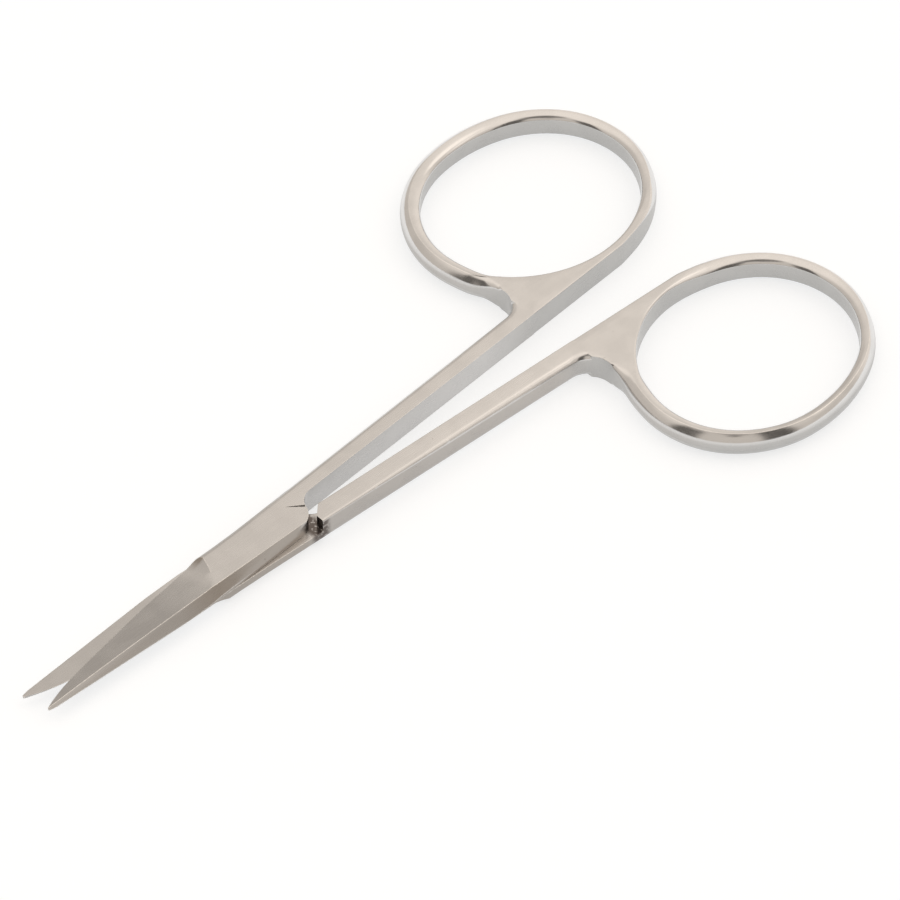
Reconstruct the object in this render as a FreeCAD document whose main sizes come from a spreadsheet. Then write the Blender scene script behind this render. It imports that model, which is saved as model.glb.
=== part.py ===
import FreeCAD, Part
import math
import os
import Sketcher
from FreeCAD import Placement, Rotation, Vector

# Straight iris scissors: two forged halves, twins of each other, held by one slotted screw.
# Each half is drawn closed, about the screw: X runs to the ring, Y to the half's own ring side,
# and Z out of its outer face. The mid-plane of the scissors is z = 0 while a half is drawn.
SIZES = {
    "bar_height": 3.5,
    "lap_gap": 0.04,
    "half_open": 2.95,
    "shank_gap": 0.9,
    "upper_shank_width": 2.32,
    "lower_shank_width": 2.5,
    "shank_flare": 0.18,
    "ring_length": 32.8,
    "ring_side_radius": 26.24,
    "ring_end_radius": 13.62,
    "ring_near_radius": 13.5,
    "ring_inner_radius": 24.7,
    "upper_ring_place": 69.89,
    "upper_ring_rise": 0.666,
    "upper_ring_tilt": 9.6,
    "lower_ring_place": 70.14,
    "lower_ring_rise": 0.382,
    "lower_ring_tilt": 12.0,
    "hole_length": 30.1,
    "hole_side_radius": 16.12,
    "hole_end_radius": 11.04,
    "upper_hole_back": 0.24,
    "upper_hole_drop": 0.65,
    "upper_hole_tilt": -4.7,
    "lower_hole_back": 0.19,
    "lower_hole_drop": 0.18,
    "lower_hole_tilt": 15.0,
    "flank_lean": 8.0,
    "web_radius": 3.0,
    "ease_lean": 9.0,
    "ease_spare": 0.1,
    "lap_side": 3.05,
    "lap_end": 5.2,
    "lap_overlap": 0.8,
    "swell_place": 6.0,
    "heel_place": 9.4,
    "heel_radius": 3.0,
    "throat_radius": 2.5,
    "shoulder_place": 12.2,
    "shoulder_step": 1.4,
    "shoulder_depth": 1.4,
    "outer_round": 1.0,
    "ring_round": 0.9,
    "inner_round": 0.3,
    "hole_chamfer": 0.12,
    "belly_place": 25.5,
    "belly_edge": 1.26,
    "edge_radius": 230.0,
    "nose_radius": 22.0,
    "spine_radius": 400.0,
    "spine_point_radius": 45.0,
    "point_width": 0.35,
    "point_height": 0.32,
    "point_ridge": 0.12,
    "upper_blade_length": 30.35,
    "upper_heel_edge": 3.27,
    "upper_spine_heel": 2.8,
    "upper_spine_belly": 1.03,
    "upper_point_offset": -0.17,
    "lower_blade_length": 30.95,
    "lower_heel_edge": 3.15,
    "lower_spine_heel": 3.1,
    "lower_spine_belly": 1.4,
    "lower_point_offset": -0.37,
    "ridge_start": 4.0,
    "ridge_offset": 1.97,
    "ridge_heel": 2.75,
    "ridge_lean": 0.1,
    "spine_land": 0.3,
    "bevel_lean": 16.6,
    "bevel_runout": 6.0,
    "runout_lead": 1.5,
    "runout_turn": 55.0,
    "slit_place": 12.2,
    "slit_side": -0.95,
    "slit_length": 2.55,
    "slit_width": 0.3,
    "slit_turn": 137.0,
    "slit_depth": 0.35,
    "screw_diameter": 2.2,
    "screw_slack": 0.05,
    "screw_grip": 0.01,
    "screw_depth": 1.35,
    "head_diameter": 3.9,
    "head_rim": 0.3,
    "head_recess": 0.05,
    "slot_width": 0.5,
    "slot_depth": 0.45,
}

doc = FreeCAD.newDocument("iris_scissors")
sheet = doc.addObject("Spreadsheet::Sheet", "sizes")
for row, (alias, size) in enumerate(SIZES.items(), start=1):
    sheet.set("A%d" % row, alias.replace("_", " "))
    sheet.set("B%d" % row, str(size))
    sheet.setAlias("B%d" % row, alias)
doc.recompute()


def number(expression):
    """The value that an expression on the sheet has now."""
    value = sheet.evalExpression(expression)
    return float(getattr(value, "Value", value))


def size(alias):
    return number("sizes." + alias)


def new_body(label):
    body = doc.addObject("PartDesign::Body", label)
    body.Label = label
    return body


def new_sketch(body, name, role, lift="0"):
    """A sketch on one of the body's own planes, moved along the plane's normal by lift."""
    sketch = body.newObject("Sketcher::SketchObject", name)
    plane = [item for item in body.Origin.OriginFeatures if item.Role == role][0]
    sketch.AttachmentSupport = [(plane, "")]
    sketch.MapMode = "FlatFace"
    sketch.AttachmentOffset = Placement(Vector(0, 0, number(lift)), Rotation())
    sketch.setExpression("AttachmentOffset.Base.z", lift)
    return sketch


def tie(sketch, kind, where, expression):
    """A dimension whose value follows the sheet."""
    value = number(expression)
    if kind == "Angle":
        value = math.radians(value)
    index = sketch.addConstraint(Sketcher.Constraint(kind, *where, value))
    sketch.setExpression("Constraints[%d]" % index, expression)


def tie_point(sketch, item, end, across, along):
    """Holds a point at two distances from the sketch's origin."""
    tie(sketch, "DistanceX", (-1, 1, item, end), across)
    tie(sketch, "DistanceY", (-1, 1, item, end), along)


def add_line(sketch, start, end):
    return sketch.addGeometry(Part.LineSegment(Vector(*start, 0), Vector(*end, 0)), False)


def add_arc(sketch, centre, start, end):
    """The arc that runs anticlockwise about centre from start to end."""
    radius = math.dist(centre, start)
    angles = [math.atan2(p[1] - centre[1], p[0] - centre[0]) for p in (start, end)]
    circle = Part.Circle(Vector(*centre, 0), Vector(0, 0, 1), radius)
    return sketch.addGeometry(Part.ArcOfCircle(circle, angles[0], angles[1]), False)


def join(sketch, kind, first, second):
    sketch.addConstraint(Sketcher.Constraint(kind, *first, *second))


START, END, CENTRE = 1, 2, 3


def toward(origin, target, distance):
    """The point at a distance from origin on the line to target."""
    span = math.dist(origin, target)
    return tuple(o + (t - o) * distance / span for o, t in zip(origin, target))


def own(name, alias):
    """A size that each half has for itself, because the two are finished by hand."""
    return "sizes.%s_%s" % (name, alias)


def place(pair):
    return tuple(number(expression) for expression in pair)


class Ring:
    """One half's ring: its outline's arcs and its finger hole, as expressions."""

    def __init__(self, name):
        self.name = name
        self.tilt = own(name, "ring_tilt")
        self.end_step = "(sizes.ring_length / 2 - sizes.ring_end_radius)"
        self.side_step = ("sqrt((sizes.ring_side_radius - sizes.ring_end_radius)^2 - %s^2)" % self.end_step)
        self.x = own(name, "ring_place")
        self.y = ("(sizes.shank_gap / 2 + sizes.ring_end_radius + %s + %s * sin(%s))"
                  % (own(name, "ring_rise"), self.end_step, self.tilt))

    def spot(self, along, across):
        """A point along the ring's long axis and across it, seen from the ring's middle."""
        return ("%s + (%s) * cos(%s) + (%s) * sin(%s)" % (self.x, along, self.tilt, across, self.tilt),
                "%s - (%s) * sin(%s) + (%s) * cos(%s)" % (self.y, along, self.tilt, across, self.tilt))

    def far(self):
        return self.spot(self.end_step, "0")

    def outer(self):
        return self.spot("0", "-" + self.side_step)

    def near(self):
        reach = "sqrt((sizes.ring_side_radius - sizes.ring_near_radius)^2 - %s^2)" % self.end_step
        return self.spot("-" + self.end_step, "%s - %s" % (reach, self.side_step))

    def inner(self):
        """The inner side's arc touches the shank's inner edge line and the far end's arc."""
        rise = own(self.name, "ring_rise")
        slack = "sqrt(%s * (2 * (sizes.ring_inner_radius - sizes.ring_end_radius) - %s))" % (rise, rise)
        return ("%s - %s" % (self.far()[0], slack), "sizes.shank_gap / 2 + sizes.ring_inner_radius")

    def hole_centres(self):
        """Centres of the hole's far end, outer side, near end and inner side arcs."""
        end_step = "(sizes.hole_length / 2 - sizes.hole_end_radius)"
        side_step = "sqrt((sizes.hole_side_radius - sizes.hole_end_radius)^2 - %s^2)" % end_step
        tilt = own(self.name, "hole_tilt")
        x = "%s - %s" % (self.x, own(self.name, "hole_back"))
        y = "%s - %s" % (self.y, own(self.name, "hole_drop"))
        return [("%s + %s * cos(%s)" % (x, end_step, tilt), "%s - %s * sin(%s)" % (y, end_step, tilt)),
                ("%s - %s * sin(%s)" % (x, side_step, tilt), "%s - %s * cos(%s)" % (y, side_step, tilt)),
                ("%s - %s * cos(%s)" % (x, end_step, tilt), "%s + %s * sin(%s)" % (y, end_step, tilt)),
                ("%s + %s * sin(%s)" % (x, side_step, tilt), "%s + %s * cos(%s)" % (y, side_step, tilt))]



INNER_LINE = "sizes.shank_gap / 2"
SPARE = "(sizes.outer_round + sizes.ease_spare)"
SPARE_LINE = "(%s - %s)" % (INNER_LINE, SPARE)
EASE_RADIUS = ("(sizes.ring_inner_radius + %s / (1 - cos(sizes.ease_lean)))" % SPARE)


def side_point(name, along):
    """A point of the shank's outer side, which flares gently from the joint to the ring."""
    width = own(name, "shank_width")
    return (along, "sizes.shank_gap / 2 + %s + %s * tan(sizes.shank_flare)" % (width, along))


def offset_line(point, normal, distance):
    """A line's reach along its normal, moved out by a distance."""
    return point[0] * normal[0] + point[1] * normal[1] + distance


def web_arc(side_end, flank_top, flare, lean, web):
    """Centre of the arc between the shank's outer side and the ring's flank, and its ends."""
    side_normal = (-math.sin(flare), math.cos(flare))
    flank_normal = (-math.cos(lean), -math.sin(lean))
    reach_side = offset_line(side_end, side_normal, web)
    reach_flank = offset_line(flank_top, flank_normal, web)
    cross = side_normal[0] * flank_normal[1] - side_normal[1] * flank_normal[0]
    centre = ((reach_side * flank_normal[1] - reach_flank * side_normal[1]) / cross,
              (reach_flank * side_normal[0] - reach_side * flank_normal[0]) / cross)
    top = tuple(c - web * n for c, n in zip(centre, flank_normal))
    foot = tuple(c - web * n for c, n in zip(centre, side_normal))
    return centre, top, foot


def bar_outline(sketch, ring, start_x, outer_end):
    """The shank, web and ring, with metal to spare along the inner side for grinding."""
    far, outer, near, inner = ring.far(), ring.outer(), ring.near(), ring.inner()
    c_far, c_outer, c_near, c_inner = [place(pair) for pair in (far, outer, near, inner)]
    end, side_radius = size("ring_end_radius"), size("ring_side_radius")
    near_radius, inner_radius = size("ring_near_radius"), size("ring_inner_radius")
    ease_radius = number(EASE_RADIUS)
    lean, flare = math.radians(size("flank_lean")), math.radians(size("shank_flare"))
    bend = math.radians(size("ease_lean"))
    ease_end = (c_inner[0] + inner_radius * math.sin(bend), c_inner[1] - inner_radius * math.cos(bend))
    c_ease = (ease_end[0] - ease_radius * math.sin(bend), ease_end[1] + ease_radius * math.cos(bend))
    ease_start = (c_ease[0], number(SPARE_LINE))
    turn_far = toward(c_inner, c_far, inner_radius)
    turn_outer = toward(c_outer, c_far, side_radius)
    turn_near = toward(c_outer, c_near, side_radius)
    flank_top = (c_near[0] - near_radius * math.cos(lean), c_near[1] - near_radius * math.sin(lean))
    outer_end_at = place(outer_end)
    web_centre, web_top, web_foot = web_arc(outer_end_at, flank_top, flare, lean, size("web_radius"))

    edge = add_line(sketch, (number(start_x), ease_start[1]), ease_start)
    ease = add_arc(sketch, c_ease, ease_start, ease_end)
    arc_inner = add_arc(sketch, c_inner, ease_end, turn_far)
    arc_far = add_arc(sketch, c_far, turn_far, turn_outer)
    arc_outer = add_arc(sketch, c_outer, turn_outer, turn_near)
    arc_near = add_arc(sketch, c_near, turn_near, flank_top)
    flank = add_line(sketch, flank_top, web_top)
    arc_web = add_arc(sketch, web_centre, web_foot, web_top)
    side = add_line(sketch, web_foot, outer_end_at)

    tie_point(sketch, edge, START, start_x, SPARE_LINE)
    sketch.addConstraint(Sketcher.Constraint("Horizontal", edge))
    chain = [(edge, END), (ease, START), (ease, END), (arc_inner, START), (arc_inner, END), (arc_far, START),
             (arc_far, END), (arc_outer, START), (arc_outer, END), (arc_near, START), (arc_near, END),
             (flank, START), (flank, END), (arc_web, END), (arc_web, START), (side, START)]
    for first, second in zip(chain[0::2], chain[1::2]):
        join(sketch, "Tangent", first, second)
    tie_point(sketch, arc_inner, CENTRE, *inner)
    tie(sketch, "Radius", (arc_inner,), "sizes.ring_inner_radius")
    tie_point(sketch, arc_far, CENTRE, *far)
    tie(sketch, "DistanceX", (-1, 1, ease, CENTRE),
        "%s - (%s - sizes.ring_inner_radius) * sin(sizes.ease_lean)" % (inner[0], EASE_RADIUS))
    tie(sketch, "Radius", (arc_outer,), "sizes.ring_side_radius")
    tie(sketch, "Radius", (arc_near,), "sizes.ring_near_radius")
    tie_point(sketch, arc_near, CENTRE, *near)
    tie(sketch, "Angle", (flank,), "sizes.flank_lean - 90")
    tie(sketch, "Radius", (arc_web,), "sizes.web_radius")
    tie_point(sketch, side, END, *outer_end)
    tie(sketch, "Angle", (side,), "sizes.shank_flare + 180")
    return [side, arc_web, flank, arc_near, arc_outer, arc_far, arc_inner, ease, edge]


def centre_between(start, end, radius):
    """Centre of the anticlockwise arc of this radius from start to end."""
    reach = math.dist(start, end)
    rise = math.sqrt(radius ** 2 - reach ** 2 / 4)
    lean = ((start[1] - end[1]) / reach, (end[0] - start[0]) / reach)
    return tuple((a + b) / 2 + rise * n for a, b, n in zip(start, end, lean))


HEEL_CENTRE = ("sizes.heel_place", "sizes.heel_radius - sizes.lap_side")
THROAT_DROP = "(sizes.heel_radius - sizes.lap_side - %s + sizes.throat_radius)" % INNER_LINE
THROAT_REACH = "sqrt((sizes.heel_radius + sizes.throat_radius)^2 - %s^2)" % THROAT_DROP
THROAT = ("sizes.heel_place + %s" % THROAT_REACH, INNER_LINE)
THROAT_CENTRE = (THROAT[0], "%s - sizes.throat_radius" % THROAT[1])
TURN_SHARE = "sizes.heel_radius / (sizes.heel_radius + sizes.throat_radius)"
TURN = ("sizes.heel_place + %s * %s" % (THROAT_REACH, TURN_SHARE),
        "%s - %s * %s" % (HEEL_CENTRE[1], THROAT_DROP, TURN_SHARE))


def back_corner(name):
    return ("-sizes.lap_end", "-" + own(name, "spine_heel"))


def edge_corner(name):
    return ("-sizes.lap_end", own(name, "heel_edge"))


def swell_outline(sketch, name, bar):
    """Closes the bar's outline over the joint: outer side up to the cutting edge, then the end face."""
    side, edge = bar[0], bar[-1]
    flare = math.tan(math.radians(size("shank_flare")))
    corner, swell_at = place(edge_corner(name)), place(side_point(name, "sizes.swell_place"))
    rise = corner[1] - swell_at[1] - flare * (corner[0] - swell_at[0])
    swell_radius = ((corner[0] - swell_at[0]) ** 2 + rise ** 2) / (2 * rise)
    swell_centre = (swell_at[0] - flare * swell_radius, swell_at[1] + swell_radius)
    swell = add_arc(sketch, swell_centre, corner, swell_at)
    face = add_line(sketch, corner, (corner[0], number(SPARE_LINE)))
    join(sketch, "Tangent", (side, END), (swell, END))
    join(sketch, "Coincident", (swell, START), (face, START))
    join(sketch, "Coincident", (face, END), (edge, START))
    tie_point(sketch, swell, START, *edge_corner(name))
    return swell


def add_pad(body, name, sketch, length, down=False):
    pad = body.newObject("PartDesign::Pad", name)
    pad.Profile = sketch
    pad.setExpression("Length", length)
    pad.Reversed = down
    sketch.Visibility = False
    return pad


def add_cut(body, name, sketch, length=""):
    """Cuts down from the sketch's plane, by a length or through everything."""
    cut = body.newObject("PartDesign::Pocket", name)
    cut.Profile = sketch
    if length:
        cut.setExpression("Length", length)
    else:
        cut.Type = "ThroughAll"
    sketch.Visibility = False
    return cut


def ring_hole(body, ring):
    """The finger hole, a smooth oval with a lean of its own."""
    sketch = new_sketch(body, body.Label + "_hole", "XY_Plane", "sizes.bar_height / 2")
    centres = ring.hole_centres()
    far, outer, near, inner = [place(pair) for pair in centres]
    radius = size("hole_side_radius")
    turns = [toward(inner, far, radius), toward(outer, far, radius),
             toward(outer, near, radius), toward(inner, near, radius)]
    arcs = [add_arc(sketch, far, turns[0], turns[1]), add_arc(sketch, outer, turns[1], turns[2]),
            add_arc(sketch, near, turns[2], turns[3]), add_arc(sketch, inner, turns[3], turns[0])]
    for first, second in zip(arcs, arcs[1:] + arcs[:1]):
        join(sketch, "Tangent", (first, END), (second, START))
    tie_point(sketch, arcs[0], CENTRE, *centres[0])
    tie_point(sketch, arcs[2], CENTRE, *centres[2])
    tie(sketch, "Radius", (arcs[0],), "sizes.hole_end_radius")
    tie(sketch, "Radius", (arcs[2],), "sizes.hole_end_radius")
    tie(sketch, "Radius", (arcs[1],), "sizes.hole_side_radius")
    tie(sketch, "Radius", (arcs[3],), "sizes.hole_side_radius")
    add_cut(body, body.Label + "_finger_hole", sketch)
    return sketch, arcs


def edge_at(shape, point):
    """The number of the shape's edge that passes through a point."""
    gaps = [edge.distToShape(Part.Vertex(point))[0] for edge in shape.Edges]
    return gaps.index(min(gaps)) + 1


def middle(sketch, item, height):
    curve = sketch.Geometry[item]
    point = curve.value((curve.FirstParameter + curve.LastParameter) / 2)
    return Vector(point.x, point.y, height)


def rounded_edges(shape, sketch, rounds, height):
    """Pairs each outline item's edge with its radii at the two ends of the edge."""
    return [(edge_at(shape, middle(sketch, item, height)), first, last) for item, first, last in rounds]


def bar_width(shape, outline, items, hole, arcs, height):
    """How thick the ring's bar is at its thinnest, between its outline and its hole."""
    edges = shape.Edges
    outer = [edges[edge_at(shape, middle(outline, item, height)) - 1] for item in items]
    inner = [edges[edge_at(shape, middle(hole, item, height)) - 1] for item in arcs]
    return min(a.distToShape(b)[0] for a in outer for b in inner)


def forging(name):
    """One half before it is ground: ring and shank, up over the joint, with forged edge rounds."""
    body = new_body(name + "_forging")
    ring = Ring(name)
    top, bottom = "sizes.bar_height / 2", "sizes.lap_gap / 2"
    outline = new_sketch(body, name + "_outer_outline", "XY_Plane", bottom)
    bar = bar_outline(outline, ring, "-sizes.lap_end", side_point(name, "sizes.swell_place"))
    swell = swell_outline(outline, name, bar)
    add_pad(body, name + "_outer_layer", outline, "%s - %s" % (top, bottom))
    recessed = new_sketch(body, name + "_inner_outline", "XY_Plane", bottom)
    shoulder = side_point(name, "sizes.shoulder_place")
    low_bar = bar_outline(recessed, ring, "sizes.shoulder_place", shoulder)
    wall = add_line(recessed, place(shoulder), (size("shoulder_place"), number(SPARE_LINE)))
    join(recessed, "Coincident", (low_bar[0], END), (wall, START))
    join(recessed, "Coincident", (wall, END), (low_bar[-1], START))
    add_pad(body, name + "_inner_layer", recessed, "%s + %s" % (top, bottom), down=True)
    hole, hole_arcs = ring_hole(body, ring)
    doc.recompute()

    high = number(top)
    shape = body.Shape
    thin = bar_width(shape, outline, bar, hole, hole_arcs, high)
    outer, inner = size("outer_round"), size("inner_round")
    loop, bore = min(size("ring_round"), 0.8 * thin), min(size("hole_chamfer"), 0.14 * thin)
    rounds = [(swell, outer, outer), (bar[0], outer, outer), (bar[1], outer, loop)]
    rounds += [(item, loop, loop) for item in bar[2:]]
    low_rounds = [(low_bar[0], inner, inner), (low_bar[1], inner, loop)]
    low_rounds += [(item, loop, loop) for item in low_bar[2:]]
    picked = rounded_edges(shape, outline, rounds, high)
    picked += rounded_edges(shape, recessed, low_rounds, -high)
    rounded = doc.addObject("Part::Fillet", name + "_rounded")
    rounded.Base = body
    rounded.Edges = picked
    doc.recompute()
    picked = []
    for height in (high, -high):
        picked += rounded_edges(rounded.Shape, hole, [(item, bore, bore) for item in hole_arcs], height)
    eased = doc.addObject("Part::Chamfer", name + "_eased")
    eased.Base = rounded
    eased.Edges = picked
    doc.recompute()
    return eased


def add_lap(body, name):
    """The lap's outer corner, back and heel, which the rounded bar leaves out."""
    sketch = new_sketch(body, name + "_lap_outline", "XY_Plane", "sizes.lap_gap / 2")
    roof = "%s + sizes.lap_overlap" % INNER_LINE
    back_at, turn_at = place(back_corner(name)), place(TURN)
    right, high = number(THROAT[0]), number(roof)
    heel_centre = place(HEEL_CENTRE)
    foot = (heel_centre[0], heel_centre[1] - size("heel_radius"))
    back = add_line(sketch, back_at, foot)
    heel = add_arc(sketch, heel_centre, foot, turn_at)
    shelf = add_line(sketch, turn_at, (right, turn_at[1]))
    wall = add_line(sketch, (right, turn_at[1]), (right, high))
    cover = add_line(sketch, (right, high), (back_at[0], high))
    face = add_line(sketch, (back_at[0], high), back_at)
    join(sketch, "Tangent", (back, END), (heel, START))
    for first, second in ((heel, shelf), (shelf, wall), (wall, cover), (cover, face), (face, back)):
        join(sketch, "Coincident", (first, END), (second, START))
    tie_point(sketch, back, START, *back_corner(name))
    tie_point(sketch, heel, CENTRE, *HEEL_CENTRE)
    tie_point(sketch, heel, END, *TURN)
    tie(sketch, "DistanceX", (-1, 1, wall, START), THROAT[0])
    sketch.addConstraint(Sketcher.Constraint("Horizontal", shelf))
    sketch.addConstraint(Sketcher.Constraint("Vertical", wall))
    sketch.addConstraint(Sketcher.Constraint("Horizontal", cover))
    tie(sketch, "DistanceY", (-1, 1, cover, START), roof)
    sketch.addConstraint(Sketcher.Constraint("Vertical", face))
    add_pad(body, name + "_lap", sketch, "sizes.bar_height / 2 - sizes.lap_gap / 2")


def grind_inner_side(body, name):
    """The flat inner side, ground from the throat to where the ring curves away."""
    sketch = new_sketch(body, name + "_inner_side", "XY_Plane", "sizes.bar_height / 2 + 1")
    far, low = "sizes.%s_ring_place + sizes.ring_length" % name, "-(sizes.lap_side + 4)"
    turn_at, throat_at = place(TURN), place(THROAT)
    far_at, low_at = number(far), number(low)
    throat = add_arc(sketch, place(THROAT_CENTRE), throat_at, turn_at)
    line = add_line(sketch, throat_at, (far_at, throat_at[1]))
    end = add_line(sketch, (far_at, throat_at[1]), (far_at, low_at))
    under = add_line(sketch, (far_at, low_at), (turn_at[0], low_at))
    rise = add_line(sketch, (turn_at[0], low_at), turn_at)
    join(sketch, "Tangent", (throat, START), (line, START))
    for first, second in (((line, END), (end, START)), ((end, END), (under, START)),
                          ((under, END), (rise, START)), ((rise, END), (throat, END))):
        join(sketch, "Coincident", first, second)
    sketch.addConstraint(Sketcher.Constraint("Horizontal", line))
    sketch.addConstraint(Sketcher.Constraint("Vertical", end))
    sketch.addConstraint(Sketcher.Constraint("Horizontal", under))
    sketch.addConstraint(Sketcher.Constraint("Vertical", rise))
    tie_point(sketch, throat, CENTRE, *THROAT_CENTRE)
    tie(sketch, "Radius", (throat,), "sizes.throat_radius")
    tie(sketch, "DistanceX", (-1, 1, throat, END), TURN[0])
    tie_point(sketch, end, END, far, low)
    add_cut(body, name + "_inner_side_grind", sketch)


def mill_shoulder(body, name):
    """The shoulder's slope, below the lap, which faces the other half's heel."""
    sketch = new_sketch(body, name + "_shoulder", "XY_Plane", "sizes.lap_gap / 2")
    high, low = "%s + sizes.shoulder_depth" % INNER_LINE, "-(sizes.lap_side + 4)"
    end = "%s + 1" % THROAT[0]
    closed_profile(sketch, [("sizes.shoulder_place - 1", low), (end, low), (end, INNER_LINE),
                            ("sizes.shoulder_place + sizes.shoulder_step", INNER_LINE),
                            ("sizes.shoulder_place", high), ("sizes.shoulder_place - 1", high)])
    add_cut(body, name + "_shoulder_mill", sketch, "sizes.bar_height")


def blade_outline(sketch, name):
    """The blade's plan: bowed cutting edge, fine rounded point and nearly straight spine."""
    offset = own(name, "point_offset")
    tip_x = "-(%s - sizes.point_width / 2)" % own(name, "blade_length")
    tip_high = (tip_x, "%s + sizes.point_width / 2" % offset)
    tip_low = (tip_x, "%s - sizes.point_width / 2" % offset)
    belly = ("-sizes.belly_place", "sizes.belly_edge")
    spine = ("-sizes.belly_place", "-" + own(name, "spine_belly"))
    heel, back = place(edge_corner(name)), place(back_corner(name))
    high, low, swell, hollow = place(tip_high), place(tip_low), place(belly), place(spine)
    edge_radius, nose_radius = size("edge_radius"), size("nose_radius")
    under_radius, spine_radius = size("spine_point_radius"), size("spine_radius")
    edge = add_arc(sketch, centre_between(heel, swell, edge_radius), heel, swell)
    nose = add_arc(sketch, centre_between(swell, high, nose_radius), swell, high)
    tip = add_arc(sketch, ((high[0] + low[0]) / 2, (high[1] + low[1]) / 2), high, low)
    under = add_arc(sketch, centre_between(low, hollow, under_radius), low, hollow)
    rake = add_arc(sketch, centre_between(hollow, back, spine_radius), hollow, back)
    face = add_line(sketch, back, heel)
    ring = [(edge, END), (nose, START), (nose, END), (tip, START), (tip, END), (under, START),
            (under, END), (rake, START), (rake, END), (face, START), (face, END), (edge, START)]
    for first, second in zip(ring[0::2], ring[1::2]):
        join(sketch, "Coincident", first, second)
    tie_point(sketch, edge, START, *edge_corner(name))
    tie_point(sketch, edge, END, *belly)
    tie_point(sketch, nose, END, *tip_high)
    tie_point(sketch, under, START, *tip_low)
    tie_point(sketch, under, END, *spine)
    tie_point(sketch, face, START, *back_corner(name))
    tie(sketch, "Radius", (edge,), "sizes.edge_radius")
    tie(sketch, "Radius", (nose,), "sizes.nose_radius")
    tie(sketch, "DistanceX", (-1, 1, tip, CENTRE), tip_x)
    tie(sketch, "Radius", (under,), "sizes.spine_point_radius")
    tie(sketch, "Radius", (rake,), "sizes.spine_radius")


def spine_section(body, name, along, ridge, foot, land="sizes.spine_land"):
    """A cut section across the blade, outside the line from the ridge to the spine's land."""
    sketch = new_sketch(body, name, "YZ_Plane", along)
    ridge_y, ridge_z = ridge
    slope = "((%s) - (%s)) / (%s - %s)" % (ridge_y, foot, ridge_z, land)
    above, below, beyond = "(sizes.bar_height / 2 + 1)", "(-0.5)", "-(sizes.lap_side + 4)"

    def on_line(height):
        return ("%s + (%s - %s) * %s" % (ridge_y, height, ridge_z, slope), height)

    closed_profile(sketch, [on_line(above), on_line(below), (beyond, below), (beyond, above)])
    return sketch


def grind_spine(body, name):
    """The ground back of the blade, upright at the heel and leaning over toward the point."""
    top = "sizes.bar_height / 2"
    length, tip = own(name, "blade_length"), own(name, "point_offset")
    ridge_slope = "(sizes.ridge_heel - sizes.ridge_offset) / (sizes.heel_place + sizes.ridge_start)"
    start, end = "sizes.heel_place + sizes.heel_radius + 1", "-(%s + 1)" % length
    heel_ridge = "-(sizes.ridge_heel + (sizes.heel_radius + 1) * %s)" % ridge_slope
    tip_ridge = "(%s + sizes.point_ridge)" % tip
    point_slope = "(sizes.ridge_offset + %s) / (%s - sizes.ridge_start)" % (tip_ridge, length)
    ridge_middle = "(-(sizes.ridge_offset))"
    sections = [
        spine_section(body, name + "_spine_heel", start, (heel_ridge, top), "-(sizes.lap_side + sizes.ridge_lean)"),
        spine_section(body, name + "_spine_middle", "-sizes.ridge_start", (ridge_middle, top),
                      "-(%s + sizes.ridge_lean)" % own(name, "spine_heel")),
        spine_section(body, name + "_spine_point", end, ("%s + %s" % (tip_ridge, point_slope), "sizes.point_height"),
                      "%s - sizes.point_width / 2" % tip, "0"),
    ]
    loft = body.newObject("PartDesign::SubtractiveLoft", name + "_spine_grind")
    loft.Profile = sections[0]
    loft.Sections = sections[1:]
    loft.Ruled = True
    for sketch in sections:
        sketch.Visibility = False


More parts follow.
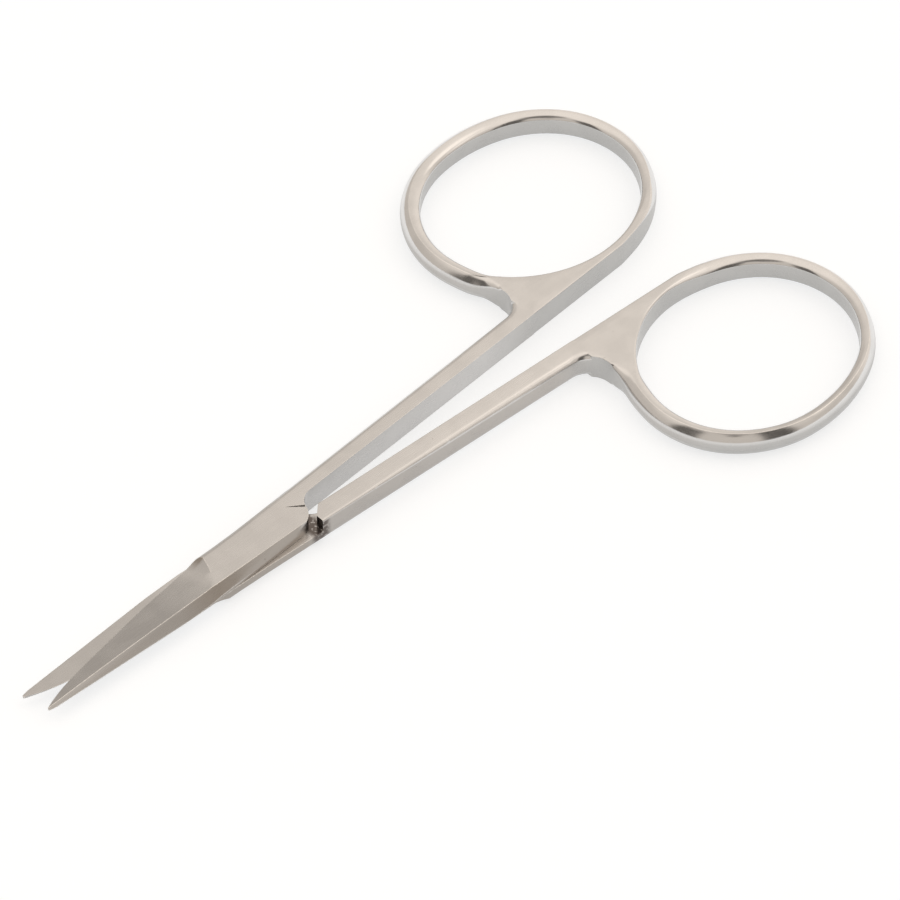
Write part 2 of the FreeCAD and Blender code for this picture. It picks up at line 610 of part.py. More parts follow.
def grind_bevel(body, name):
    """The cutting bevel, one flat grind whose wheel run-out curves up ahead of the screw."""
    top, lean = "sizes.bar_height / 2", "tan(sizes.bevel_lean)"
    length = own(name, "blade_length")
    tip_ridge = "(%s + sizes.point_ridge)" % own(name, "point_offset")
    level = "(%s - sizes.ridge_offset * %s)" % (top, lean)
    fall = ("((%s - sizes.point_height - (sizes.ridge_offset + %s) * %s) / (%s - sizes.ridge_start))"
            % (top, tip_ridge, lean, length))
    sketch = new_sketch(body, name + "_bevel_profile", "XZ_Plane")
    far, foot = "-(%s + 2)" % length, "-(sizes.ridge_start + sizes.runout_lead)"
    ceiling = "(%s + 6)" % top

    def depth(along):
        return "%s + %s * ((%s) + sizes.ridge_start)" % (level, fall, along)

    slope = math.atan(number(fall))
    radius = size("bevel_runout")
    tangent = place((foot, depth(foot)))
    centre = (tangent[0] - radius * math.sin(slope), tangent[1] + radius * math.cos(slope))
    turn = math.radians(size("runout_turn")) + slope
    lift = (centre[0] + radius * math.sin(turn), centre[1] - radius * math.cos(turn))
    height = number(ceiling)
    out = (lift[0] + (height - lift[1]) / math.tan(turn), height)
    start = place((far, depth(far)))
    flat = add_line(sketch, start, tangent)
    curve = add_arc(sketch, centre, tangent, lift)
    ramp = add_line(sketch, lift, out)
    roof = add_line(sketch, out, (start[0], height))
    wall = add_line(sketch, (start[0], height), start)
    join(sketch, "Tangent", (flat, END), (curve, START))
    join(sketch, "Tangent", (curve, END), (ramp, START))
    join(sketch, "Coincident", (ramp, END), (roof, START))
    join(sketch, "Coincident", (roof, END), (wall, START))
    join(sketch, "Coincident", (wall, END), (flat, START))
    sketch.addConstraint(Sketcher.Constraint("Horizontal", roof))
    sketch.addConstraint(Sketcher.Constraint("Vertical", wall))
    tie_point(sketch, flat, START, far, depth(far))
    tie_point(sketch, flat, END, foot, depth(foot))
    tie(sketch, "Radius", (curve,), "sizes.bevel_runout")
    tie(sketch, "Angle", (ramp,), "sizes.runout_turn * 1 deg + atan(%s)" % fall)
    tie(sketch, "DistanceY", (-1, 1, roof, START), ceiling)
    pocket = body.newObject("PartDesign::Pocket", name + "_bevel_grind")
    pocket.Profile = sketch
    pocket.UseCustomVector = True
    pocket.AlongSketchNormal = False
    pocket.Direction = Vector(0, 1, -math.tan(math.radians(size("bevel_lean"))))
    pocket.setExpression("Direction.z", "-" + lean)
    pocket.SideType = "Symmetric"
    pocket.setExpression("Length", "4 * (sizes.lap_side + sizes.lower_heel_edge)")
    sketch.Visibility = False


def cut_slit(body, name):
    """A fine tapered slit, open at the throat, on the half that lies on top."""
    sketch = new_sketch(body, name + "_slit_outline", "XY_Plane", "sizes.bar_height / 2")
    x, y, turn = "sizes.slit_place", "sizes.slit_side", "sizes.slit_turn"
    half_width, reach = "sizes.slit_width / 2", "sizes.slit_length"
    closed_profile(sketch, [("%s + %s * sin(%s)" % (x, half_width, turn), "%s - %s * cos(%s)" % (y, half_width, turn)),
                            ("%s + %s * cos(%s)" % (x, reach, turn), "%s + %s * sin(%s)" % (y, reach, turn)),
                            ("%s - %s * sin(%s)" % (x, half_width, turn), "%s + %s * cos(%s)" % (y, half_width, turn))])
    add_cut(body, name + "_slit", sketch, "sizes.slit_depth")


def closed_profile(sketch, corners):
    """Straight lines through corners whose places follow the sheet."""
    spots = [place(corner) for corner in corners]
    count = len(spots)
    lines = [add_line(sketch, spots[i], spots[(i + 1) % count]) for i in range(count)]
    for i, line in enumerate(lines):
        join(sketch, "Coincident", (line, END), (lines[(i + 1) % count], START))
        tie_point(sketch, line, START, *corners[i])
    return lines


def turned_profile(body, name, corners, kind):
    """A profile beside the screw's axis, turned right round it."""
    sketch = new_sketch(body, name + "_profile", "XZ_Plane")
    closed_profile(sketch, corners)
    turned = body.newObject(kind, name)
    turned.Profile = sketch
    turned.ReferenceAxis = (sketch, ["V_Axis"])
    turned.Angle = 360
    sketch.Visibility = False


def screw_profile(face, out, slack, grow):
    """Corners of the screw from its head's flat end inward; out is the way out of the metal."""
    rim = "sizes.head_diameter / 2 + %s" % slack
    neck = "sizes.screw_diameter / 2 + %s" % slack
    step = "(sizes.head_diameter - sizes.screw_diameter) / 2"
    under = "%s %s (sizes.head_recess + sizes.head_rim + %s)" % (face, "-" if out else "+", grow)
    deep = "%s %s %s" % (under, "-" if out else "+", step)
    return rim, neck, under, deep


def half(name, is_upper):
    """A finished half: forging, lap, blade, grinds, and its own hole for the screw."""
    rounded = forging(name)
    body = new_body(name + "_half")
    body.BaseFeature = rounded
    rounded.Visibility = False
    top, bottom = "sizes.bar_height / 2", "sizes.lap_gap / 2"
    add_lap(body, name)
    grind_inner_side(body, name)
    mill_shoulder(body, name)
    outline = new_sketch(body, name + "_blade_outline", "XY_Plane", bottom)
    blade_outline(outline, name)
    add_pad(body, name + "_blade", outline, "%s - %s" % (top, bottom))
    grind_spine(body, name)
    grind_bevel(body, name)
    if is_upper:
        cut_slit(body, name)
        bore = "sizes.screw_diameter / 2 + sizes.screw_grip"
        end = "sizes.screw_depth + sizes.screw_grip"
        corners = [("0", "-1"), (bore, "-1"), (bore, end), ("0", end)]
    else:
        slack = "sizes.screw_slack"
        rim, neck, under, deep = screw_profile(top, True, slack, slack + " * (sqrt(2) - 1)")
        corners = [("0", "-1"), (neck, "-1"), (neck, deep), (rim, under), (rim, top + " + 1"), ("0", top + " + 1")]
    turned_profile(body, name + "_screw_seat", corners, "PartDesign::Groove")
    return body


def pivot_screw():
    """The slotted screw: flush countersunk head below, threaded end in the upper half."""
    body = new_body("pivot_screw")
    rim, neck, under, deep = screw_profile("0", False, "0", "0")
    end = "sizes.bar_height / 2 + sizes.screw_depth"
    corners = [("0", "sizes.head_recess"), (rim, "sizes.head_recess"), (rim, under), (neck, deep), (neck, end),
               ("0", end)]
    turned_profile(body, "screw_turning", corners, "PartDesign::Revolution")
    slot = new_sketch(body, "screw_slot_profile", "XY_Plane", "sizes.head_recess")
    reach, half_width = "sizes.head_diameter", "sizes.slot_width / 2"
    closed_profile(slot, [("-" + reach, "-" + half_width), (reach, "-" + half_width),
                          (reach, half_width), ("-" + reach, half_width)])
    pocket = body.newObject("PartDesign::Pocket", "screw_slot")
    pocket.Profile = slot
    pocket.setExpression("Length", "sizes.slot_depth")
    pocket.Reversed = True
    slot.Visibility = False
    return body


upper = half("upper", True)
lower = half("lower", False)
screw = pivot_screw()
lift = Vector(0, 0, number("sizes.bar_height / 2"))
opening = Rotation(Vector(0, 0, 1), size("half_open"))
upper.Placement = Placement(lift, opening)
lower.Placement = Placement(lift, opening.inverted() * Rotation(Vector(1, 0, 0), 180))
screw.Placement = Placement(Vector(0, 0, 0), opening)
for item in (upper, lower):
    item.setExpression("Placement.Base.z", "sizes.bar_height / 2")
doc.recompute()

faults = [item.Name for item in doc.Objects if {"Invalid", "Error"} & set(item.State)]
if faults:
    raise ValueError("not solved: " + ", ".join(faults))
os.makedirs("parts", exist_ok=True)
for node in (upper, lower, screw):
    if node.Shape.isNull() or not node.Shape.isValid() or len(node.Shape.Solids) != 1:
        raise ValueError("not sound: " + node.Label)
    node.Shape.exportStep("parts/%s.step" % node.Label)
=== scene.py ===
import math

import bmesh
import bpy
from mathutils import Matrix, Vector
from mathutils.bvhtree import BVHTree


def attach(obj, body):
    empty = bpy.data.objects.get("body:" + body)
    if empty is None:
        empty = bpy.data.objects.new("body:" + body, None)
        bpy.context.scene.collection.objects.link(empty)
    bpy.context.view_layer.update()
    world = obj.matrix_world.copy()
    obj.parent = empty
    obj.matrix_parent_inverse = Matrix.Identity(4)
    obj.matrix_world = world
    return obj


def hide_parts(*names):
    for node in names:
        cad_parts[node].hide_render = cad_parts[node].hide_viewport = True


MM = 0.001

# Camera, at the height and side from which the scissors are seen lying open on a table.
LOOK_AT_MM = (32.02, -4.69, 1.75)
CAMERA_DISTANCE_MM = 878.0
CAMERA_ELEVATION = 45.64
CAMERA_AZIMUTH = 45.06
CAMERA_LENS_MM = 295.0
CAMERA_SENSOR_MM = 36.0

# Forgings. A ring is a bar, rounder outside than inside, which flattens into the web of its shank.
# Angles are degrees round the middle of a ring's hole, lengths are millimetres.
BAR_MIDDLE = 1.75
BAR_HALF_WIDTH = 1.11
BAR_FAR_SWELL = 0.095
BAR_FAR_TURN = 45.0
BAR_SIDE_SWELL = 0.15
BAR_SIDE_TURN = 135.0
BAR_SHIFT = 0.20
BAR_HALF_HEIGHT = 1.7
BAR_RIM = 0.02
BAR_CREST = 0.16
BAR_TOP_DROP = 0.75
WEB_HALF_HEIGHT = 1.75
WEB_HOLE_ROUND = 0.35
THROAT_ROUND = 1.1
SEAM_ROUND = 0.6
FLANK_ROUND = 0.12
RINGS = {
    # web: starts to flatten, is flat, starts to round, is round. close: where the web meets the shank.
    # throat: where each of THROAT_ROUND, SEAM_ROUND and FLANK_ROUND is reached.
    "upper_half": dict(middle=(68.81, 18.115), web=(196, 210.7, 290, 328), close=(209, 230),
                       throat=(203, 211, 213)),
    "lower_half": dict(middle=(69.09, -18.43), web=(58, 95, 149.3, 164), close=(130, 151),
                       throat=(157, 149, 147)),
}
CORNER_STEPS = 9
TOP_STEPS = 3
CLOSE_STEP = 0.25
WIDE_STEP = 2.0

# Where the CAD's shank ends and the ring starts, and how far they overlap.
SHANK_CUT = 54.0
SHANK_OVERLAP = 0.3
# Scraps of the CAD's ring lie beyond both of these.
SCRAP_START = 43.2
SCRAP_SIDE = 9.4
# How far past the hole's wall the search for the outside starts.
PAST_WALL = 0.05
# Points closer than these are one point.
CAD_GAP = 0.0005
RING_GAP = 0.002
WELD_GAP = 0.001
SPLINTER = 0.0005
SHARP_DEG = 28

# Table top.
FLOOR_SIZE = 40.0
FLOOR_GLOW = 0.66
FLOOR_PAPER = (0.475, 0.50, 0.525)

# Light tent. Directions are azimuth and elevation in degrees.
TENT_TINT = (1.10, 1.0, 0.90)
TENT_HEIGHTS = ((0.0, 0.62), (0.34, 0.64), (0.64, 0.74), (0.77, 0.86), (0.88, 0.95))
TENT_PANELS = (
    # name, azimuth, elevation, full within, gone beyond, level
    ("far_panel", 8, 8, 18, 46, 0.90),
    ("far_seam", 61, 20, 6, 17, 0.57),
    ("side_panel", 120, 8, 15, 45, 0.60),
    ("front_panel", -140, 20, 30, 60, 0.62),
    ("high_lamp", -14, 54, 7, 16, 1.20),
    ("hood", -128, 67, 8, 19, 0.20),
)
TENT_STRIPS = (
    # name, azimuth, half width, edge, lowest, highest, level
    ("bright_strip", -52, 5, 6, 24, 64, 1.06),
    ("right_gap", -97, 9, 9, -40, 66, 0.12),
    ("left_gap", 178, 9, 8, -40, 60, 0.14),
)
LENS_HOOD = ("lens_hood", -135, 47, 3, 7, 0.30)
STRIP_TOP_FADE = 14
STRIP_FOOT_FADE = 10

# Steel, as base colours and roughness. The wall, flank, lap and ring-wall colours are darker copies of the
# ground steel that paint shade. The near-white one paints a highlight on the edges, and the near-black one
# paints shade in the corner behind the lap.
GROUND_STEEL = (0.66, 0.655, 0.65)
# painted shade: darker copies of the ground steel for upright walls, the shanks' outer flanks and the
# lap's sides
SHADED_WALL_STEEL = (0.57, 0.56, 0.55)
SHADED_FLANK_STEEL = (0.46, 0.435, 0.41)
SHADED_LAP_STEEL = (0.40, 0.365, 0.33)
# painted shade on the rings' walls and on their faces that turn down
SHADED_RING_WALL_STEEL = (0.455, 0.45, 0.44)
# painted highlight: near-white steel laid along the edges
EDGE_HIGHLIGHT_STEEL = (0.98, 0.96, 0.93)
PIT_STEEL = (0.20, 0.17, 0.15)
# painted shade in the corner behind the lap
CORNER_SHADE = (0.10, 0.08, 0.07)
GROUND_ROUGH = 0.24
POLISHED_ROUGH = 0.13
WALL_ROUGH = 0.30

# Where each finish and each painted shade lies. A pair is where it starts and where it is full, and may
# run either way.
# A third and fourth number are the values at those two places. Facings are the upward part of a normal.
WALL_FACING = (0.45, 0.12)
SLANT_FACING = (0.93, 0.80)
UNDERCUT_FACING = (0.55, 0.05)
UNDERSIDE_FACING = (-0.96, -0.85)
RING_START_MM = (44.0, 56.0)
FLANK_SIDE_MM = (3.0, 3.7)
FLANK_END_MM = (56.0, 48.0)
LAP_SIDE_MM = (1.6, 2.2)
LAP_END_MM = (12.0, 9.0)
LAP_POINT_MM = (-12.0, -3.0, 0.25, 1.0)
BLADE_START_MM = (6.0, 0.0)
# where the painted shade in the corner behind the lap lies
CORNER_SHADE_START_MM = (10.0, 11.0)
CORNER_SHADE_END_MM = (13.4, 12.4)
CORNER_SHADE_TOP_MM = (3.42, 3.1)
TONES = ((-12.0, 0.79), (-4.0, 0.95), (12.0, 1.0), (60.0, 1.12))

# Patterns, as scale per millimetre, detail and roughness, and what they do to the steel.
STREAK_STRETCH = (0.35, 9.0, 9.0)
STREAK_NOISE = (1.0, 4.0, 0.6)
CLOUD_NOISE = (0.30, 2.0)
GRAIN_NOISE = (5.0, 3.0, 0.6)
PIT_NOISE = (2.1, 1.0)
# noise that breaks up the painted shade behind the lap
CORNER_SHADE_NOISE = (1.7, 3.0)
CLOUD_SHADE = (0.35, 0.65, 0.97, 1.02)
STREAK_SHADE = (0.3, 0.7, 0.98, 1.015)
CLOUD_ROUGH = (0.3, 0.7, -0.02, 0.03)
STREAK_ROUGH = (0.25, 0.75, -0.05, 0.06)
PIT_SHAPE = (0.79, 0.83)
PIT_SHARE = 0.7
# how much of the painted shade behind the lap shows
CORNER_SHADE_SHARE = (0.36, 0.5, 0.25, 0.9)
LINE_STRENGTH = 0.25
LINE_DEPTH_MM = 0.004
LINE_GRAIN = 0.4

# Edges, rounded for the light alone, and given a painted highlight where the rounded normal leaves the
# true one.
EDGE_RADIUS_MM = 0.12
EDGE_SAMPLES = 4
# where the painted edge highlight starts and where it is full
HANDLE_EDGE_HIGHLIGHT = (0.985, 0.90)
BLADE_EDGE_HIGHLIGHT = (0.9985, 0.975)
EDGE_HIGHLIGHT_GRAIN = (0.30, 0.55, 0.45, 0.95)


def towards(azimuth, elevation):
    a, e = math.radians(azimuth), math.radians(elevation)
    return Vector((math.cos(a) * math.cos(e), math.sin(a) * math.cos(e), math.sin(e)))


class Tree:
    """A node tree, with a short word for each kind of node that is used here."""

    def __init__(self, owner):
        owner.use_nodes = True
        self.tree = owner.node_tree
        self.tree.nodes.clear()

    def node(self, kind, **settings):
        made = self.tree.nodes.new(kind)
        for name, value in settings.items():
            setattr(made, name, value)
        return made

    def feed(self, socket, value):
        if isinstance(value, bpy.types.NodeSocket):
            self.tree.links.new(value, socket)
        else:
            socket.default_value = value

    def maths(self, operation, *values):
        made = self.node("ShaderNodeMath", operation=operation)
        for place, value in enumerate(values):
            self.feed(made.inputs[place], value)
        return made.outputs[0]

    def vector(self, operation, *values):
        made = self.node("ShaderNodeVectorMath", operation=operation)
        for place, value in enumerate(values):
            self.feed(made.inputs[place], value)
        return made.outputs["Value" if operation in ("DOT_PRODUCT", "LENGTH") else "Vector"]

    def product(self, first, *others):
        for value in others:
            first = self.maths("MULTIPLY", first, value)
        return first

    def split(self, value):
        made = self.node("ShaderNodeSeparateXYZ")
        self.feed(made.inputs[0], value)
        return made.outputs[0], made.outputs[1], made.outputs[2]

    def between(self, value, low, high, to_low=0.0, to_high=1.0):
        """A soft step of value from low to high."""
        made = self.node("ShaderNodeMapRange", interpolation_type="SMOOTHSTEP")
        for place, given in enumerate((value, low, high, to_low, to_high)):
            self.feed(made.inputs[place], given)
        return made.outputs[0]

    def mix(self, factor, first, second):
        made = self.node("ShaderNodeMix", data_type="RGBA")
        self.feed(made.inputs[0], factor)
        for place, colour in ((6, first), (7, second)):
            is_socket = isinstance(colour, bpy.types.NodeSocket)
            self.feed(made.inputs[place], colour if is_socket else (*colour, 1))
        return made.outputs[2]

    def blend(self, factor, first, second):
        made = self.node("ShaderNodeMix", data_type="FLOAT")
        for place, given in ((0, factor), (2, first), (3, second)):
            self.feed(made.inputs[place], given)
        return made.outputs[0]

    def noise(self, place, scale, detail=2.0, rough=0.5):
        made = self.node("ShaderNodeTexNoise")
        for name, given in (("Vector", place), ("Scale", scale), ("Detail", detail), ("Roughness", rough)):
            self.feed(made.inputs[name], given)
        return made.outputs["Fac"]


def grey(level):
    return tuple(level * part for part in TENT_TINT)


def tent_panel(world, sight, colour, panel):
    """Lays one soft round panel over the tent."""
    _, azimuth, elevation, full, gone, level = panel
    facing = world.vector("DOT_PRODUCT", sight, towards(azimuth, elevation))
    share = world.between(facing, math.cos(math.radians(gone)), math.cos(math.radians(full)))
    return world.mix(share, colour, grey(level))


def tent_strip(world, sight, colour, strip):
    """Lays one upright strip over the tent, a bright one or a gap between two panels."""
    _, azimuth, half_width, edge, lowest, highest, level = strip
    across = world.maths("ABSOLUTE", world.vector("DOT_PRODUCT", sight, towards(azimuth + 90, 0)))
    along = world.vector("DOT_PRODUCT", sight, towards(azimuth, 0))
    height = world.vector("DOT_PRODUCT", sight, (0, 0, 1))
    turn = world.maths("ARCTAN2", across, along)
    inside = world.between(turn, math.radians(half_width + edge), math.radians(half_width))
    under = world.between(height, math.sin(math.radians(highest)),
                          math.sin(math.radians(highest - STRIP_TOP_FADE)))
    above = world.between(height, math.sin(math.radians(lowest)),
                          math.sin(math.radians(lowest + STRIP_FOOT_FADE)))
    return world.mix(world.product(under, above, inside), colour, grey(level))


def light_tent():
    world = bpy.data.worlds.new("light_tent")
    bpy.context.scene.world = world
    tent = Tree(world)
    sight = tent.node("ShaderNodeTexCoord").outputs["Generated"]
    height = tent.vector("DOT_PRODUCT", sight, (0, 0, 1))
    ramp = tent.node("ShaderNodeValToRGB")
    stops = ramp.color_ramp.elements
    while len(stops) < len(TENT_HEIGHTS):
        stops.new(0.5)
    for stop, (place, level) in zip(stops, TENT_HEIGHTS):
        stop.position = place
        stop.color = (*grey(level), 1)
    tent.feed(ramp.inputs[0], height)
    colour = ramp.outputs[0]
    for panel in TENT_PANELS:
        colour = tent_panel(tent, sight, colour, panel)
    for strip in TENT_STRIPS:
        colour = tent_strip(tent, sight, colour, strip)
    colour = tent_panel(tent, sight, colour, LENS_HOOD)
    sky = tent.node("ShaderNodeBackground")
    tent.feed(sky.inputs["Color"], colour)
    sky.inputs["Strength"].default_value = 1.0
    tent.feed(tent.node("ShaderNodeOutputWorld").inputs["Surface"], sky.outputs[0])


def make_floor():
    """White table top. It shows as white itself and in the steel, and keeps the shadow."""
    bpy.ops.mesh.primitive_plane_add(size=FLOOR_SIZE)
    floor = bpy.context.object
    floor.name = "floor"
    material = bpy.data.materials.new("white_table")
    paper = Tree(material)
    matt = paper.node("ShaderNodeBsdfDiffuse")
    matt.inputs["Color"].default_value = (*FLOOR_PAPER, 1)
    glow = paper.node("ShaderNodeEmission")
    glow.inputs["Color"].default_value = (1, 1, 1, 1)
    path = paper.node("ShaderNodeLightPath")
    seen = paper.maths("ADD", path.outputs["Is Camera Ray"], path.outputs["Is Glossy Ray"])
    seen = paper.maths("ADD", seen, path.outputs["Is Transmission Ray"])
    seen = paper.maths("MINIMUM", seen, 1.0)
    paper.feed(glow.inputs["Strength"], paper.product(seen, FLOOR_GLOW))
    both = paper.node("ShaderNodeAddShader")
    paper.feed(both.inputs[0], matt.outputs[0])
    paper.feed(both.inputs[1], glow.outputs[0])
    paper.feed(paper.node("ShaderNodeOutputMaterial").inputs["Surface"], both.outputs[0])
    floor.data.materials.append(material)


def place_camera():
    forward = towards(CAMERA_AZIMUTH, -CAMERA_ELEVATION)
    right = forward.cross(Vector((0, 0, 1))).normalized()
    up = right.cross(forward)
    data = bpy.data.cameras.new("camera")
    data.lens = CAMERA_LENS_MM
    data.sensor_width = CAMERA_SENSOR_MM
    camera = bpy.data.objects.new("camera", data)
    axes = Matrix((right, up, -forward)).transposed().to_4x4()
    eye = (Vector(LOOK_AT_MM) - forward * CAMERA_DISTANCE_MM) * MM
    camera.matrix_world = Matrix.Translation(eye) @ axes
    bpy.context.scene.collection.objects.link(camera)
    bpy.context.scene.camera = camera


def soft_step(value, low, high):
    share = min(1.0, max(0.0, (value - low) / (high - low)))
    return share * share * (3 - 2 * share)


def cad_copy(node):
    """A merged copy of a CAD node's mesh."""
    shape = bmesh.new()
    shape.from_mesh(node.data)
    bmesh.ops.remove_doubles(shape, verts=shape.verts, dist=CAD_GAP * MM)
    return shape


def ring_reach(tree, ring, angle):
    """How far the hole's wall and the outside of the forging are from the ring's middle."""
    close_start, close_end = ring["close"]
    start = Vector((*ring["middle"], BAR_MIDDLE)) * MM
    way = Vector((math.cos(angle), math.sin(angle), 0))
    inner = tree.ray_cast(start, way)[3]
    past = inner + PAST_WALL * MM
    outer = past + tree.ray_cast(start + way * past, way)[3]
    if close_start <= math.degrees(angle) <= close_end:
        outer = min(outer, (SHANK_CUT * MM - start.x) / way.x)
    return inner / MM, outer / MM


def bar_section(inner, outer, half_height, hole_round, outer_round, crest):
    """Points round one section of the bar, as (distance from the ring's middle, height from its own)."""
    upper = []
    for step in range(CORNER_STEPS):
        turn = math.pi / 2 * step / (CORNER_STEPS - 1)
        upper.append((inner + hole_round[0] * (1 - math.cos(turn)),
                      half_height - hole_round[1] * (1 - math.sin(turn))))
    top = (inner + hole_round[0], outer - outer_round[0])
    for step in range(1, TOP_STEPS + 1):
        upper.append((top[0] + (top[1] - top[0]) * step / (TOP_STEPS + 1), half_height))
    for step in range(CORNER_STEPS):
        turn = crest + (math.pi / 2 - crest) * step / (CORNER_STEPS - 1)
        upper.append((outer - outer_round[0] * (1 - math.sin(turn)) / (1 - math.sin(crest)),
                      half_height - outer_round[1] * (1 - math.cos(turn) / math.cos(crest))))
    return upper + [(reach, -height) for reach, height in reversed(upper)]


def ring_section(tree, ring, degrees):
    """The bar's section at one angle, flattened as far as the web has got there."""
    angle = math.radians(degrees)
    inner, outer = ring_reach(tree, ring, angle)
    first, full, full_end, last = ring["web"]
    flat = min(soft_step(degrees, first, full), 1 - soft_step(degrees, full_end, last))
    to_far = math.cos(angle - math.radians(BAR_FAR_TURN))
    to_side = math.cos(angle - math.radians(BAR_SIDE_TURN))
    width = BAR_HALF_WIDTH + BAR_FAR_SWELL * to_far + BAR_SIDE_SWELL * to_side
    centre = (inner + outer) / 2 + BAR_SHIFT * to_far ** 2
    throat, seam, flank = ring["throat"]
    to_seam = soft_step((degrees - throat) / (seam - throat), 0, 1)
    to_flank = soft_step((degrees - seam) / (flank - seam), 0, 1)
    corner = THROAT_ROUND + (SEAM_ROUND - THROAT_ROUND) * to_seam + (FLANK_ROUND - SEAM_ROUND) * to_flank

    def blend(bar, web):
        return bar + (web - bar) * flat

    if flat < 1:
        inner, outer = blend(centre - width, inner), blend(centre + width, outer)
    slope = (1 - BAR_CREST) * width
    crest = math.pi / 2 - 2 * math.atan(slope / BAR_HALF_HEIGHT)
    hole_round = (blend((1 + BAR_CREST) * width, WEB_HOLE_ROUND), blend(BAR_TOP_DROP, WEB_HOLE_ROUND))
    outer_round = (blend(slope, corner), blend(BAR_HALF_HEIGHT - BAR_RIM, corner))
    half_height = blend(BAR_HALF_HEIGHT, WEB_HALF_HEIGHT)
    return bar_section(inner, outer, half_height, hole_round, outer_round, blend(crest, 0.0))


def ring_stations(ring):
    """Angles of the sections, closer together where the web meets the shank."""
    close_start, close_end = ring["close"]
    angles, angle = [], 0.0
    while angle < 360:
        angles.append(angle)
        angle += CLOSE_STEP if close_start <= angle < close_end else WIDE_STEP
    return angles + [360.0]


def bend_ring(tree, ring):
    """A flat grid bent round the section and round the ring, and joined to itself."""
    stations = ring_stations(ring)
    sections = [ring_section(tree, ring, degrees % 360) for degrees in stations]
    columns, rows = len(stations) - 1, len(sections[0])
    middle_x, middle_y = ring["middle"]
    shape = bmesh.new()
    bmesh.ops.create_grid(shape, x_segments=columns, y_segments=rows, size=1)
    for point in shape.verts:
        column = round((point.co.x + 1) / 2 * columns)
        row = round((point.co.y + 1) / 2 * rows) % rows
        angle = math.radians(stations[column])
        reach, height = sections[column][row]
        point.co = Vector((middle_x + reach * math.cos(angle), middle_y + reach * math.sin(angle),
                           BAR_MIDDLE + height)) * MM
    bmesh.ops.remove_doubles(shape, verts=shape.verts, dist=RING_GAP * MM)
    bmesh.ops.recalc_face_normals(shape, faces=shape.faces)
    return shape


def fill_holes(shape):
    bmesh.ops.holes_fill(shape, edges=[edge for edge in shape.edges if edge.is_boundary], sides=0)


def cut_shank(shape):
    """Takes the CAD's ring off, and closes the shank's end."""
    everything = shape.verts[:] + shape.edges[:] + shape.faces[:]
    bmesh.ops.bisect_plane(shape, geom=everything, plane_co=Vector((SHANK_CUT + SHANK_OVERLAP, 0, 0)) * MM,
                           plane_no=(1, 0, 0), clear_outer=True)
    scraps = [point for point in shape.verts
              if point.co.x > SCRAP_START * MM and abs(point.co.y) > SCRAP_SIDE * MM]
    bmesh.ops.delete(shape, geom=scraps, context="VERTS")
    fill_holes(shape)


def weld(first, second, name):
    """One closed mesh from two shapes that overlap."""
    pieces = []
    for shape in (first, second):
        mesh = bpy.data.meshes.new(name)
        shape.to_mesh(mesh)
        shape.free()
        pieces.append(bpy.data.objects.new(name, mesh))
        bpy.context.scene.collection.objects.link(pieces[-1])
    union = pieces[0].modifiers.new("weld", "BOOLEAN")
    union.operation = "UNION"
    union.solver = "EXACT"
    union.object = pieces[1]
    result = pieces[0].evaluated_get(bpy.context.evaluated_depsgraph_get())
    welded = bpy.data.meshes.new_from_object(result)
    for piece in pieces:
        old = piece.data
        bpy.data.objects.remove(piece)
        bpy.data.meshes.remove(old)
    welded.name = name
    return welded


def clean_weld(mesh):
    """Merges what the weld left too small, and shades all but the sharp edges smooth."""
    shape = bmesh.new()
    shape.from_mesh(mesh)
    bmesh.ops.remove_doubles(shape, verts=shape.verts, dist=WELD_GAP * MM)
    bmesh.ops.dissolve_degenerate(shape, edges=shape.edges, dist=SPLINTER * MM)
    bmesh.ops.triangulate(shape, faces=shape.faces)
    loose = [edge for edge in shape.edges if not edge.link_faces]
    bmesh.ops.delete(shape, geom=loose, context="EDGES")
    bmesh.ops.delete(shape, geom=[point for point in shape.verts if not point.link_edges], context="VERTS")
    fill_holes(shape)
    limit = math.radians(SHARP_DEG)
    for face in shape.faces:
        face.smooth = True
    for edge in shape.edges:
        edge.smooth = edge.is_manifold and edge.calc_face_angle(0) < limit
    shape.to_mesh(mesh)
    shape.free()


def forge_half(node, name, body, finish):
    """One half: blade, lap and shank as in the CAD, with a rounded ring and web behind them."""
    shape = cad_copy(node)
    ring = bend_ring(BVHTree.FromBMesh(shape), RINGS[node.name])
    cut_shank(shape)
    mesh = weld(shape, ring, name)
    clean_weld(mesh)
    mesh.materials.append(finish)
    half = bpy.data.objects.new(name, mesh)
    bpy.context.scene.collection.objects.link(half)
    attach(half, body)
    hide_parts(node.name)


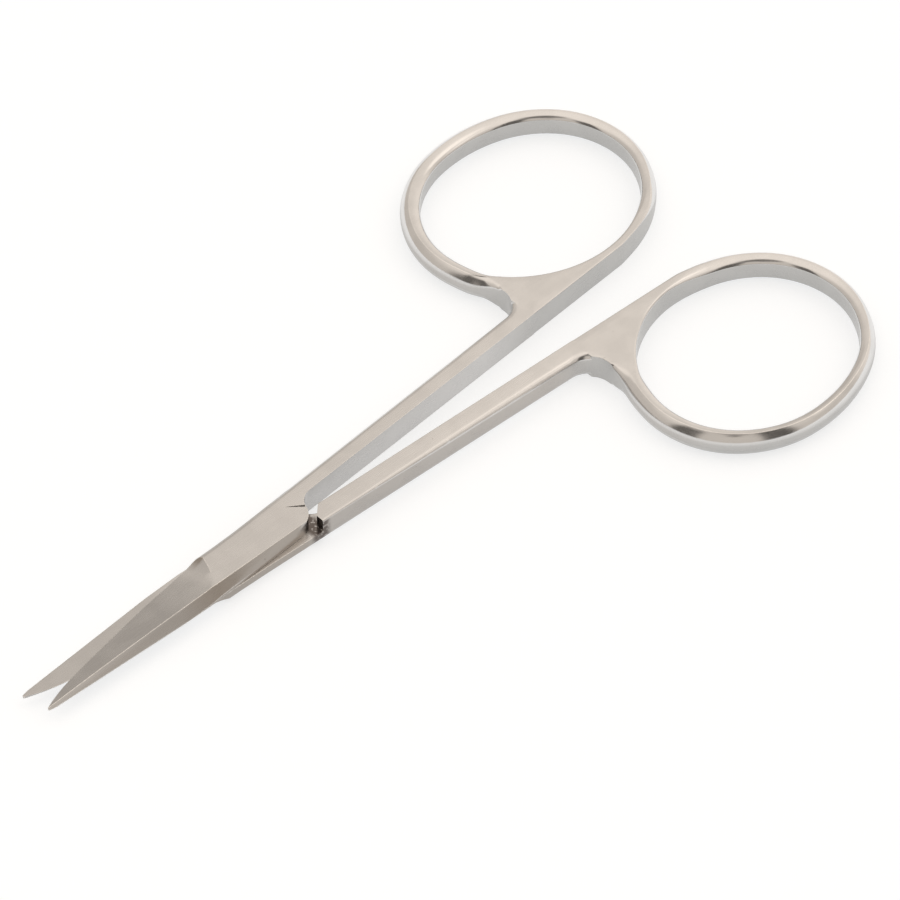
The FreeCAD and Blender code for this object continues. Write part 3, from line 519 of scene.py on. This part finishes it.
class Steel(Tree):
    """The steel of all three pieces, by where it lies and which way it faces, with painted shade on faces
    that turn sideways or down.
    """

    def __init__(self, material):
        super().__init__(material)
        spot = self.node("ShaderNodeTexCoord")
        self.place = self.vector("MULTIPLY", spot.outputs["Object"], (1 / MM, 1 / MM, 1 / MM))
        self.along, across, self.height = self.split(self.place)
        self.side = self.maths("ABSOLUTE", across)
        self.facing = self.split(spot.outputs["Normal"])[2]
        self.flatness = self.maths("ABSOLUTE", self.facing)
        self.ring = self.between(self.along, *RING_START_MM)
        self.lap = self.product(self.between(self.side, *LAP_SIDE_MM),
                                self.between(self.along, *LAP_END_MM))
        slant = self.product(self.between(self.flatness, *SLANT_FACING), self.lap,
                             self.between(self.along, *LAP_POINT_MM))
        self.wall = self.maths("MAXIMUM", self.between(self.flatness, *WALL_FACING), slant)
        self.streaks = self.noise(self.vector("MULTIPLY", self.place, STREAK_STRETCH), *STREAK_NOISE)
        self.cloud = self.noise(self.place, *CLOUD_NOISE)
        self.grain = self.noise(self.place, *GRAIN_NOISE)
        edge = self.node("ShaderNodeBevel", samples=EDGE_SAMPLES)
        edge.inputs["Radius"].default_value = EDGE_RADIUS_MM * MM
        self.rounded = edge.outputs[0]

    def ground_and_shaded(self):
        """Ground flats, with painted shade on the walls, the flanks, the lap and the rings' undersides."""
        flank = self.product(self.between(self.side, *FLANK_SIDE_MM),
                             self.between(self.along, *FLANK_END_MM))
        # painted shade: upright faces darker, and browner on the flanks and the lap
        painted_wall_shade = self.mix(flank, self.mix(self.ring, SHADED_WALL_STEEL, SHADED_RING_WALL_STEEL), SHADED_FLANK_STEEL)
        painted_wall_shade = self.mix(self.lap, painted_wall_shade, SHADED_LAP_STEEL)
        # painted shade on the rings' faces that turn down
        underside_shade = self.product(self.between(self.facing, *UNDERCUT_FACING),
                                self.between(self.facing, *UNDERSIDE_FACING), self.ring)
        return self.mix(self.maths("MAXIMUM", self.wall, underside_shade), GROUND_STEEL, painted_wall_shade)

    def shaded(self, colour):
        """Tone along the scissors, with soft clouds, fine streaks and a few pits."""
        tone = TONES[0][1]
        for (start, before), (end, after) in zip(TONES, TONES[1:]):
            tone = self.maths("ADD", tone, self.between(self.along, start, end, 0.0, after - before))
        shade = self.product(tone, self.between(self.cloud, *CLOUD_SHADE),
                             self.between(self.streaks, *STREAK_SHADE))
        scaled = self.node("ShaderNodeVectorMath", operation="SCALE")
        self.feed(scaled.inputs[0], colour)
        self.feed(scaled.inputs["Scale"], shade)
        pits = self.between(self.noise(self.place, *PIT_NOISE), *PIT_SHAPE)
        return self.mix(self.product(pits, PIT_SHARE), scaled.outputs[0], PIT_STEEL)

    def edge_highlighted(self, colour):
        """Painted highlight along the edges, finer on the blade than on the handles, broken up by the
        grain.
        """
        true = self.node("ShaderNodeNewGeometry").outputs["Normal"]
        blade = self.between(self.along, *BLADE_START_MM)
        start, full = (self.blend(blade, *levels) for levels in zip(HANDLE_EDGE_HIGHLIGHT, BLADE_EDGE_HIGHLIGHT))
        highlight = self.between(self.vector("DOT_PRODUCT", self.rounded, true), start, full)
        return self.mix(self.product(highlight, self.between(self.grain, *EDGE_HIGHLIGHT_GRAIN)), colour, EDGE_HIGHLIGHT_STEEL)

    def corner_shaded(self, colour):
        """Painted shade in the corner behind the lap, broken up by noise."""
        corner_shade = self.product(self.between(self.along, *CORNER_SHADE_START_MM),
                             self.between(self.along, *CORNER_SHADE_END_MM),
                             self.between(self.height, *CORNER_SHADE_TOP_MM),
                             self.between(self.noise(self.place, *CORNER_SHADE_NOISE), *CORNER_SHADE_SHARE))
        return self.mix(corner_shade, colour, CORNER_SHADE)

    def roughness(self):
        rough = self.blend(self.wall, self.blend(self.ring, GROUND_ROUGH, POLISHED_ROUGH), WALL_ROUGH)
        rough = self.maths("ADD", rough, self.between(self.streaks, *STREAK_ROUGH))
        return self.maths("ADD", rough, self.between(self.cloud, *CLOUD_ROUGH))

    def fine_lines(self):
        """The normal, with rounded edges and the lines of the grinding wheel."""
        lines = self.node("ShaderNodeBump")
        lines.inputs["Strength"].default_value = LINE_STRENGTH
        lines.inputs["Distance"].default_value = LINE_DEPTH_MM * MM
        height = self.maths("ADD", self.streaks, self.product(self.grain, LINE_GRAIN))
        self.feed(lines.inputs["Height"], height)
        self.feed(lines.inputs["Normal"], self.rounded)
        return lines.outputs[0]


def steel_finish(name):
    """Ground flats and blade, tumbled walls, hand-polished rings and a few pits, with painted shade on the
    walls, the ring undersides and the corner behind the lap, and a painted highlight on the edges.
    """
    material = bpy.data.materials.new(name)
    steel = Steel(material)
    shader = steel.node("ShaderNodeBsdfPrincipled")
    shader.inputs["Metallic"].default_value = 1.0
    steel.feed(shader.inputs["Base Color"], steel.corner_shaded(steel.edge_highlighted(steel.shaded(steel.ground_and_shaded()))))
    steel.feed(shader.inputs["Roughness"], steel.roughness())
    steel.feed(shader.inputs["Normal"], steel.fine_lines())
    steel.feed(steel.node("ShaderNodeOutputMaterial").inputs["Surface"], shader.outputs[0])
    return material


def dress(node, material):
    node.data.materials.clear()
    node.data.materials.append(material)


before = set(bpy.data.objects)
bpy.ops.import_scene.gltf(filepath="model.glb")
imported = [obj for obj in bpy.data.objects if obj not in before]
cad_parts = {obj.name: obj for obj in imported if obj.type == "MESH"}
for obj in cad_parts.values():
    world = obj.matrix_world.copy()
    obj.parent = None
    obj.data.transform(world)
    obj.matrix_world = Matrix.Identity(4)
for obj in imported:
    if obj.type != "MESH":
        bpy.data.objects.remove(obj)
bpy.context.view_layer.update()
bpy.context.scene.view_settings.view_transform = "Standard"
half_steel = steel_finish("half_steel")
dress(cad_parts["pivot_screw"], steel_finish("screw_steel"))
forge_half(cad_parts["upper_half"], "upper_forging", "upper", half_steel)
forge_half(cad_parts["lower_half"], "lower_forging", "lower", half_steel)
light_tent()
make_floor()
place_camera()
